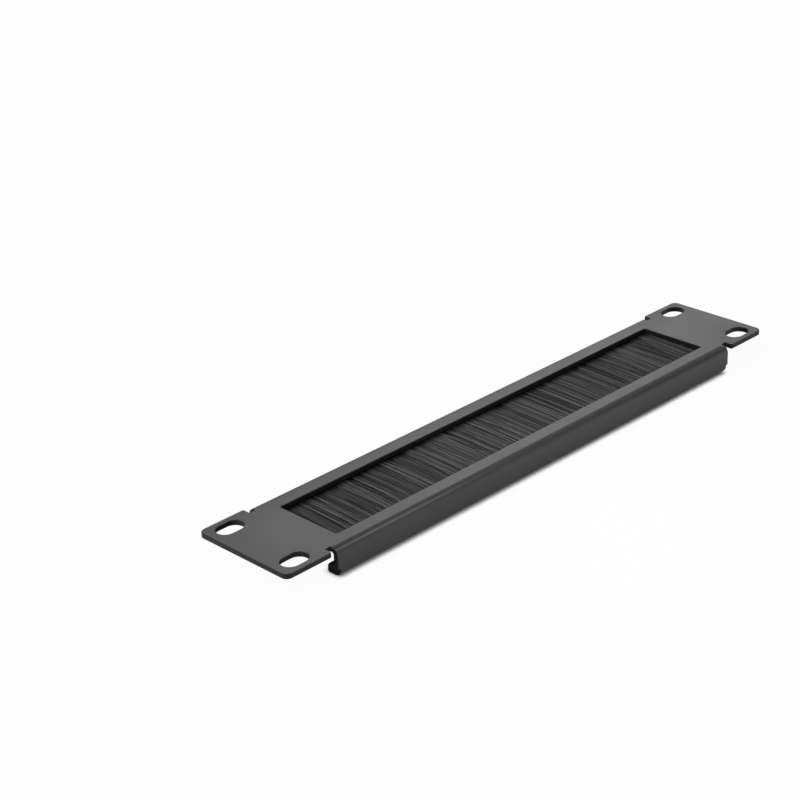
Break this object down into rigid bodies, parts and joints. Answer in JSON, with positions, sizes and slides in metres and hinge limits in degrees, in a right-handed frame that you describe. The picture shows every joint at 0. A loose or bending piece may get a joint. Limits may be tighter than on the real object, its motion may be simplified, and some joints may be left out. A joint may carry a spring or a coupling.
{
  "type": "rack brush strip panel",
  "caption": "Folded black steel blanking panel for a small equipment rack, with slotted ears and a long window closed by a strip brush that cables pass through.",
  "frame": {"origin": "centre of the footprint, on the plane of the rear lips' outer faces", "axes": "+X along the panel's length, +Y across it from the brush's root to its tips, +Z out of the front face"},
  "size_m": [0.254, 0.0436, 0.011],
  "materials": {
    "panel_coat": "satin black powder coat, fine texture",
    "holder_steel": "bright galvanised steel strip",
    "wire_steel": "drawn steel wire",
    "filament": "black polyamide filaments",
    "screw_steel": "blackened steel"
  },
  "bodies": {
    "root": {"face_panel": "panel_coat", "brush_holder": "holder_steel", "core_wire": "wire_steel", "bristles": "filament", "clamp_screw_1": "screw_steel", "clamp_screw_2": "screw_steel", "clamp_screw_3": "screw_steel"}
  },
  "joints": []
}
